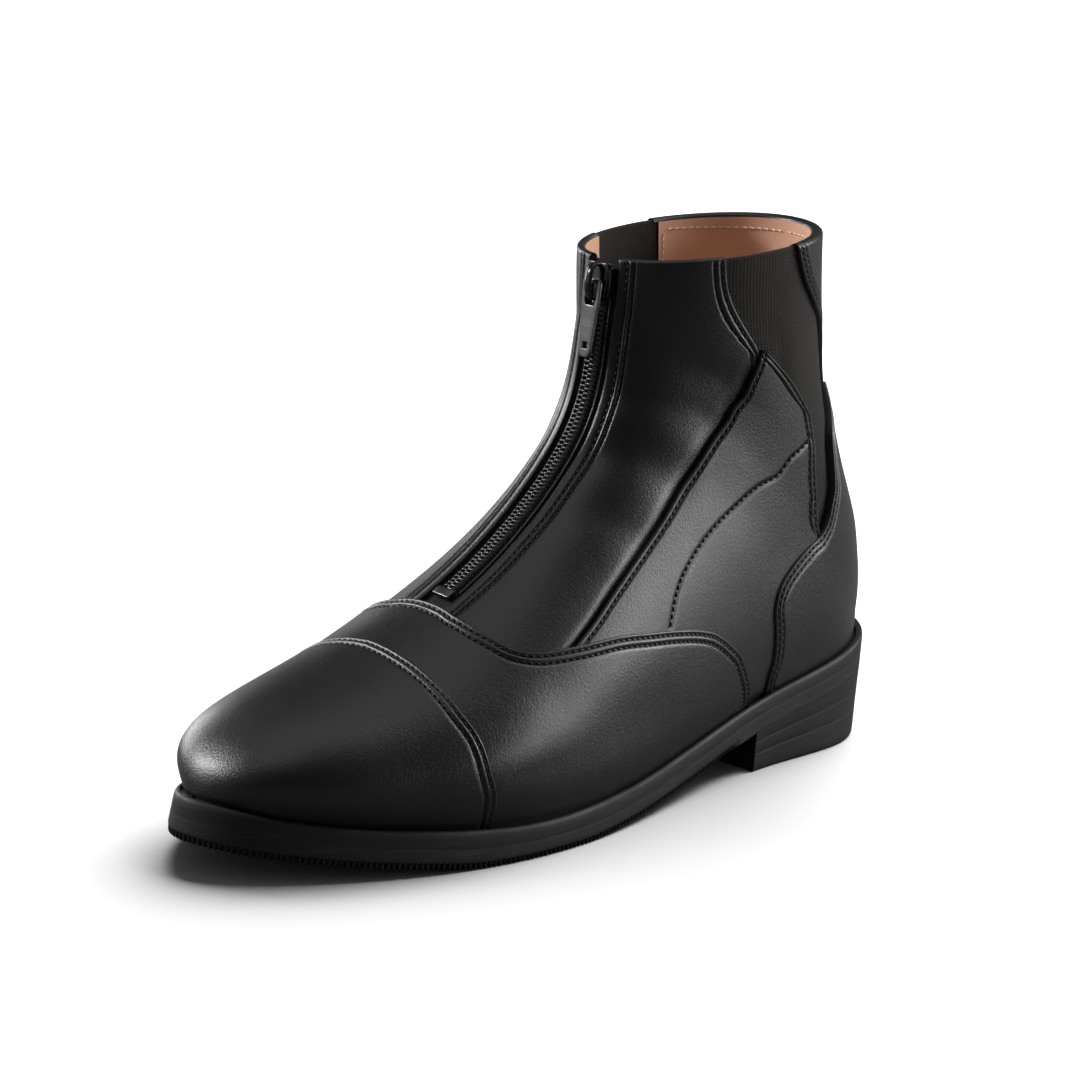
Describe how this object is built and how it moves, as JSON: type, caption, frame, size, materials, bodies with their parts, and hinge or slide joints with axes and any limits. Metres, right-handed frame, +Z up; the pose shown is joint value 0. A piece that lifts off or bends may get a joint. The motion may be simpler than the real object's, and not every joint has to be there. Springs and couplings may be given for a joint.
{
  "type": "jodhpur boot",
  "caption": "Ankle-high black leather jodhpur riding boot, left foot, with a front zip, elastic side gores, a stitched toe cap and a rubber sole with a low heel.",
  "frame": {"origin": "middle of the boot's plan box, on the floor plane that the heel and forefoot rest on", "axes": "+X forward to the toe, +Y to the wearer's left, which is the outer side of this boot, +Z up"},
  "size_m": [0.2732, 0.0934, 0.1686],
  "materials": {
    "rubber": "satin black",
    "insole": "matt tan",
    "leather": "satin black, fine grain",
    "elastic": "matt black ribbed elastic",
    "tape": "matt black woven tape",
    "coil": "satin black",
    "metal": "satin dark grey"
  },
  "bodies": {
    "boot": {"outsole": "rubber", "heel": "rubber", "insole": "insole", "upper": "leather", "toe_cap": "leather", "vamp": "leather", "side_panel_lateral": "leather", "side_panel_medial": "leather", "heel_counter": "leather", "back_tab": "leather", "gore_lateral": "elastic", "gore_medial": "elastic", "zip_tape": "tape", "zip_chain": "coil", "zip_bottom_stop": "metal", "zip_slider": "metal"},
    "zip_pull": {"zip_pull": "metal"}
  },
  "joints": [
    {"name": "pull_swing", "type": "hinge", "parent": "boot", "child": "zip_pull", "pos_m": [-0.01578, -0.00298, 0.15538], "axis": [0, -1, 0], "range_deg": [0, 150]}
  ]
}
